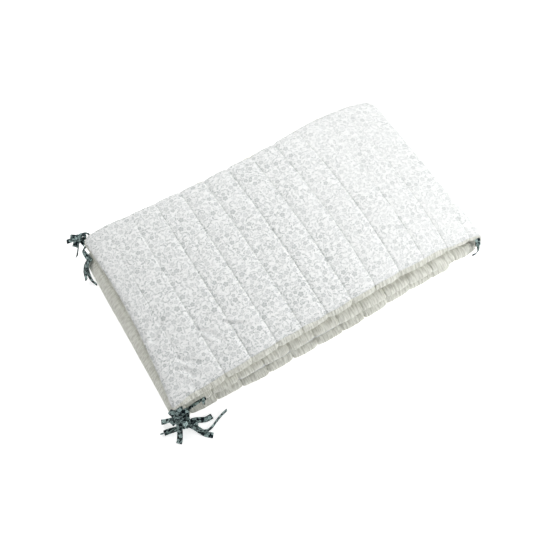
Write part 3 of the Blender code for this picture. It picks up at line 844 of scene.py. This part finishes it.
LEADS = (
    # from the strip to the knot: tie, x, y, z, slope
    ("tie_front_top", -0.2975, -0.1842, 0.0560, 0),
    ("tie_front_fold", -0.2488, -0.1786, 0.0430, 45),
    ("tie_front_fold", -0.2643, -0.1793, 0.0430, 40),
    ("tie_front_fold", -0.2798, -0.1807, 0.0370, 40),
    ("tie_back_top", -0.2850, 0.1985, 0.0600, 35),
    ("tie_back_fold", -0.2850, 0.1850, 0.0350, 90),
    ("tie_back_fold", -0.2955, 0.1855, 0.0375, 80),
    ("tie_back_fold", -0.3015, 0.1760, 0.0440, 55),
)
STRANDS = (
    # the free ends: tie, tip_x, tip_y, tip_z, sway, wave, down_by, slope_start, slope_end
    ("tie_front_top", -0.3258, -0.1675, 0.0100, 0.000, 0.001, 0.9, 30, 10),
    ("tie_front_top", -0.3171, -0.2125, 0.0010, 0.002, 0.000, 1.0, 10, 0),
    ("tie_front_fold", -0.3301, -0.1840, 0.0010, 0.000, 0.001, 0.8, 20, 0),
    ("tie_front_fold", -0.3366, -0.1840, 0.0056, 0.001, 0.001, 0.8, 30, 84),
    ("tie_front_fold", -0.2612, -0.2298, 0.0010, -0.001, 0.001, 0.8, 35, 0),
    ("tie_front_fold", -0.2469, -0.2000, 0.0030, 0.001, 0.002, 0.8, 25, 30),
    ("tie_front_fold", -0.2203, -0.2044, 0.0056, -0.018, -0.005, 0.5, 80, 84),
    ("tie_back_top", -0.3197, 0.2033, 0.0540, 0.000, 0.000, 0.9, 10, 8),
    ("tie_back_top", -0.3169, 0.1830, 0.0250, 0.001, 0.001, 0.9, 75, 60),
    ("tie_back_top", -0.2942, 0.1838, 0.0490, 0.001, 0.000, 0.9, 55, 50),
    ("tie_back_fold", -0.3085, 0.1225, 0.0075, -0.009, 0.000, 0.8, 55, 84),
    ("tie_back_fold", -0.3210, 0.1350, 0.0180, -0.006, 0.000, 0.9, 20, 60),
    ("tie_right_fold", 0.3035, -0.1915, 0.0330, 0.004, 0.000, 1.0, 82, 86),
)
LOOPS = (
    # tie, far_x, far_y, far_z, breadth, tilt
    ("tie_front_top", -0.3053, -0.1707, 0.0500, 0.010, 68),
    ("tie_front_top", -0.2794, -0.1850, 0.0500, 0.009, 75),
    ("tie_front_top", -0.3136, -0.1865, 0.0360, 0.009, 60),
    ("tie_front_top", -0.2947, -0.2019, 0.0300, 0.009, 65),
    ("tie_front_fold", -0.2745, -0.2025, 0.0140, 0.010, 75),
    ("tie_front_fold", -0.2989, -0.1837, 0.0240, 0.010, 65),
    ("tie_back_top", -0.3106, 0.2060, 0.0570, 0.010, 72),
    ("tie_back_top", -0.2852, 0.1935, 0.0590, 0.010, 70),
    ("tie_back_top", -0.3111, 0.1905, 0.0460, 0.008, 55),
)
WRAPS = (
    # the turns round a knot: which way the turn's axis points, and how far it tips up
    (0.4, 0.3),
    (1.9, -0.5),
    (3.0, 1.0),
)


def sloped(run, slope):
    """Direction across a tape that runs in a direction: level and to its left at slope 0, up at 90."""
    left = Vector((-run.y, run.x, 0)).normalized()
    return left * cos(radians(slope)) + Vector((0, 0, sin(radians(slope))))


def lead_path(root, outward, slope, places, knot):
    """Out of the strip's side, and on a smooth curve through the places to the knot."""
    steps, straight_for, slope_at_knot = 8, 0.0025, 20
    start, places_on = Vector(root), [Vector(place[:3]) for place in places]
    marks = [start, start + straight_for * outward, *places_on, Vector(knot)]
    slopes = [slope, slope, *(place[3] for place in places), slope_at_knot]
    marks = [2 * marks[0] - marks[1], *marks, 2 * marks[-1] - marks[-2]]
    points, widths = [], []
    for span in range(1, len(marks) - 2):
        p, q, r, s = marks[span - 1:span + 3]
        bend, twist = 2 * p - 5 * q + 4 * r - s, 3 * q - p - 3 * r + s
        for i in range(steps):
            t = i / steps
            points.append(0.5 * (2 * q + (r - p) * t + bend * t**2 + twist * t**3))
            run = 0.5 * ((r - p) + 2 * bend * t + 3 * twist * t**2)
            widths.append(sloped(run, slopes[span - 1] + (slopes[span] - slopes[span - 1]) * ease(t)))
    points.append(marks[-2])
    widths.append(sloped(marks[-1] - marks[-2], slopes[-1]))
    return points, widths


def strand_path(knot, tip_x, tip_y, tip_z, sway, wave, down_by, slope_start, slope_end):
    """From the knot down to the tip, swaying to one side or the other, and never below the floor."""
    steps, clearance = 28, 0.0004
    start = Vector(knot)
    across = Vector((tip_x, tip_y, 0)) - Vector((start.x, start.y, 0))
    left = Vector((-across.y, across.x, 0)).normalized()
    points, widths = [], []
    for i in range(steps + 1):
        t = 0.02 + 0.98 * i / steps
        slope = slope_start + (slope_end - slope_start) * ease(t)
        place = start + across * t + left * (sway * sin(pi * t) + wave * sin(2 * pi * t))
        half_tall = abs(sin(radians(slope))) * TAPE_WIDTH / 2
        half_tall += abs(cos(radians(slope))) * TAPE_THICKNESS / 2
        place.z = max(start.z + (tip_z - start.z) * ease(min(1, t / down_by)), half_tall + clearance)
        run = across + left * pi * (sway * cos(pi * t) + 2 * wave * cos(2 * pi * t))
        points.append(place)
        widths.append(sloped(run, slope))
    return points, widths


def loop_path(knot, far_x, far_y, far_z, breadth, tilt):
    """Out of the knot, round at the far end and back, with its mouth tilted up from the level."""
    steps = 32
    start, out = Vector(knot), Vector((far_x, far_y, far_z)) - Vector(knot)
    left = Vector((-out.y, out.x, 0)).normalized()
    aside = left * cos(radians(tilt)) + out.cross(left).normalized() * sin(radians(tilt))
    points, widths = [], []
    for i in range(steps + 1):
        turn = radians(25 + 310 * i / steps)
        points.append(start + out * (1 - cos(turn)) / 2 + aside * breadth / 2 * sin(turn))
        widths.append(out.cross(aside))
    return points, widths


def wrap_path(knot, size, turn, tip, seed):
    """A band of tape drawn tight round the knot."""
    steps = 24
    axis = Vector((cos(turn) * cos(tip), sin(turn) * cos(tip), sin(tip)))
    first = axis.orthogonal().normalized()
    second = axis.cross(first)
    points, widths = [], []
    for i in range(steps + 1):
        a = 2 * pi * i / steps + seed
        reach = size * (0.98 + 0.10 * sin(2 * a + seed))
        points.append(Vector(knot) + (first * cos(a) + second * sin(a)) * reach)
        widths.append(axis + 0.25 * sin(a + seed) * first)
    return points, widths


def tape_grid(points, widths, start, width=TAPE_WIDTH, curl=0.0007):
    """A tape through the points, as a tube of its section, with cloth coordinates along and across it.

    curl is how far its faces bow, one way and then the other. Its two faces show different print."""
    bows_per_metre, other_face = 190, 0.013
    points, widths = (np.array([tuple(vector) for vector in path]) for path in (points, widths))
    onward = np.gradient(points, axis=0)
    onward /= np.linalg.norm(onward, axis=1, keepdims=True)
    widths -= (widths * onward).sum(axis=1, keepdims=True) * onward
    widths /= np.linalg.norm(widths, axis=1, keepdims=True)
    thick = np.cross(onward, widths)
    steps = np.linalg.norm(np.diff(points, axis=0), axis=1)
    length = start + np.concatenate([[0], np.cumsum(steps)])
    section = list(TAPE_SECTION) + [(a, -b) for a, b in reversed(TAPE_SECTION[1:-1])]
    section = np.array(section + section[:1])
    a, b = section[:, 0][None, :, None], section[:, 1][None, :, None]
    bow = curl * np.sin(length * bows_per_metre + start)[:, None, None] * (1 - a**2)
    stand_off = b * TAPE_THICKNESS / 2 + bow
    grid = points[:, None] + widths[:, None] * a * width / 2 + thick[:, None] * stand_off
    u = np.repeat(length[:, None], grid.shape[1], axis=1)
    v = np.broadcast_to(section[:, 0] * width / 2 + (section[:, 1] < 0) * other_face, u.shape) + start
    return grid, u, v


def capped(grid, u, v):
    """The tube of a tape with its two ends drawn to a line, so that it is closed."""
    ends, further = [], 0.02
    for k, near in ((0, 1), (-1, -2)):
        middle, before = (np.stack([row, row[::-1]]).mean(axis=0) for row in (grid[k], grid[near]))
        ends.append((middle + (middle - before) * further)[None])
    grid = np.concatenate([ends[0], grid, ends[1]])
    u = np.concatenate([u[:1], u, u[-1:]])
    v = np.concatenate([v[:1], v, v[-1:]])
    return grid, u, v


def make_tie(row, number):
    """A tie's mesh, and the length of tape in it, with the wraps counted at the tape's full width."""
    name, along, side, leaves_at, slope, *knot, size = row
    at, inset = round_corners(np.array([along]), np.array([0.0]), np.array([side]))
    front, back = width_at(at)
    point, _ = on_fold(at + slide(at, side))
    edge_y = (front if side < 0 else back)[0]
    root = (point[0][0], edge_y - side * inset[0] + side * 0.0002, point[1][0])
    outward = Vector((cos(radians(leaves_at)), sin(radians(leaves_at)), 0))

    def rows(table):
        return [values for tie_name, *values in table if tie_name == name]

    paths = [lead_path(root, outward, slope, rows(LEADS), knot)]
    paths += [strand_path(knot, *values) for values in rows(STRANDS)]
    paths += [loop_path(knot, *values) for values in rows(LOOPS)]
    # Each tape starts at another place on the printed cloth.
    start, grids, cloth_length = 0.37 * number, [], 0
    for path in paths:
        grid, u, v = tape_grid(*path, start)
        cloth_length += u[-1, 0] - u[0, 0]
        grids.append((*capped(grid, u, v), False))
        start += 0.11
    reach_share, width_share = 0.86, 1.35
    for k, (turn, tip) in enumerate(WRAPS):
        band = wrap_path(knot, size * reach_share, turn + number, tip, k * 1.3)
        grid, u, v = tape_grid(*band, start, size * width_share, 0.0)
        cloth_length += (u[-1, 0] - u[0, 0]) * size * width_share / TAPE_WIDTH
        grids.append((*capped(grid, u, v), False))
        start += 0.07
    return mesh_of(name + "_tape", grids), cloth_length


TIE_GROUND = (0.002, 0.009, 0.013, 1)
TIE_INK = (0.50, 0.66, 0.64, 1)
TIE_THREAD, TIE_THREAD_HEIGHT = 0.0006, 0.00006


def make_tie_cotton():
    """Dark blue-green cotton with a small pale print of blossoms and leaves."""
    made, tree, cloth = new_material("tie_cotton", (0.03, 0.08, 0.09), 0.8)
    flower, chance, ratio = blossoms(tree, 0.0088, 0.0035, 5, 1.3)
    leaf, leaf_chance = leaves(tree, 0.0080, 0.0030, 0.0016, 4.1)
    clear = remap(tree, ratio, 1.05, 1.3)
    pale = sums(tree, "MAXIMUM", by_chance(tree, flower, chance, 0.55, 1.0),
                by_chance(tree, times(tree, leaf, clear), leaf_chance, 0.1, 0.8))
    tree.links.new(mix_colours(tree, pale, TIE_GROUND, TIE_INK), cloth.inputs["Base Color"])
    threads = bump(tree, weave(tree, TIE_THREAD), TIE_THREAD_HEIGHT, 0.6)
    tree.links.new(threads, cloth.inputs["Normal"])
    cloth.inputs["Sheen Weight"].default_value = 0.05
    cloth.inputs["Specular IOR Level"].default_value = 0.1
    return made


tie_cotton = make_tie_cotton()
for number, tie_row in enumerate(TIES):
    mesh, cloth_length = make_tie(tie_row, number)
    tie = add_piece(tie_row[0] + "_tape", mesh, tie_cotton)
    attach(tie, "root")
    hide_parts(tie_row[0])

# The studio: a pale floor that gives off a little light of its own, a large soft light overhead and a
# little behind, weaker ones on the right, at its rear corner, at the front, the back and the left, and the
# camera.
FLOOR_REACH, FLOOR_Z = 6, -0.0004
LIGHTS = (
    # name, place, size, power
    ("right", (1.6, -0.1, 0.9), 1.0, 5.6),
    ("corner", (0.75, 0.25, 0.8), 0.6, 2.2),
    ("front", (0.5, -0.7, 0.7), 0.5, 4.6),
    ("overhead", (-0.3, 0.7, 1.6), 0.9, 11.8),
    ("back", (-0.1, 0.8, 0.7), 0.6, 1.5),
    ("left", (-1.7, -0.3, 1.0), 1.0, 1.2),
)


def make_floor():
    floor_finish, _, paper = new_material("floor", (0.75, 0.75, 0.75), 0.9)
    paper.inputs["Emission Color"].default_value = (1, 1, 1, 1)
    paper.inputs["Emission Strength"].default_value = 0.64
    mesh = bpy.data.meshes.new("floor")
    corners = ((-1, -1), (1, -1), (1, 1), (-1, 1))
    mesh.from_pydata([(x * FLOOR_REACH, y * FLOOR_REACH, FLOOR_Z) for x, y in corners], [], [(0, 1, 2, 3)])
    return add_piece("floor", mesh, floor_finish)


def make_lights():
    for name, place, size, power in LIGHTS:
        light = bpy.data.lights.new(name, "AREA")
        light.shape, light.size, light.energy = "SQUARE", size, power
        lamp = bpy.data.objects.new(name, light)
        lamp.location = place
        lamp.rotation_euler = (Vector((0, 0, 0)) - Vector(place)).to_track_quat("-Z", "Y").to_euler()
        scene.collection.objects.link(lamp)
    world = bpy.data.worlds.new("studio")
    world.use_nodes = True
    sky = world.node_tree.nodes["Background"]
    sky.inputs["Color"].default_value = (1.0, 1.0, 1.0, 1)
    sky.inputs["Strength"].default_value = 0.2
    scene.world = world
    scene.view_settings.view_transform = "Standard"


def make_camera():
    camera = bpy.data.cameras.new("camera")
    camera.lens, camera.sensor_width = 50, 36
    viewer = bpy.data.objects.new("camera", camera)
    viewer.location = (-0.3395, -0.5597, 1.2688)
    viewer.rotation_euler = (radians(90 - 63.85), 0, radians(-31.1))
    scene.collection.objects.link(viewer)
    scene.camera = viewer


make_floor()
make_lights()
make_camera()
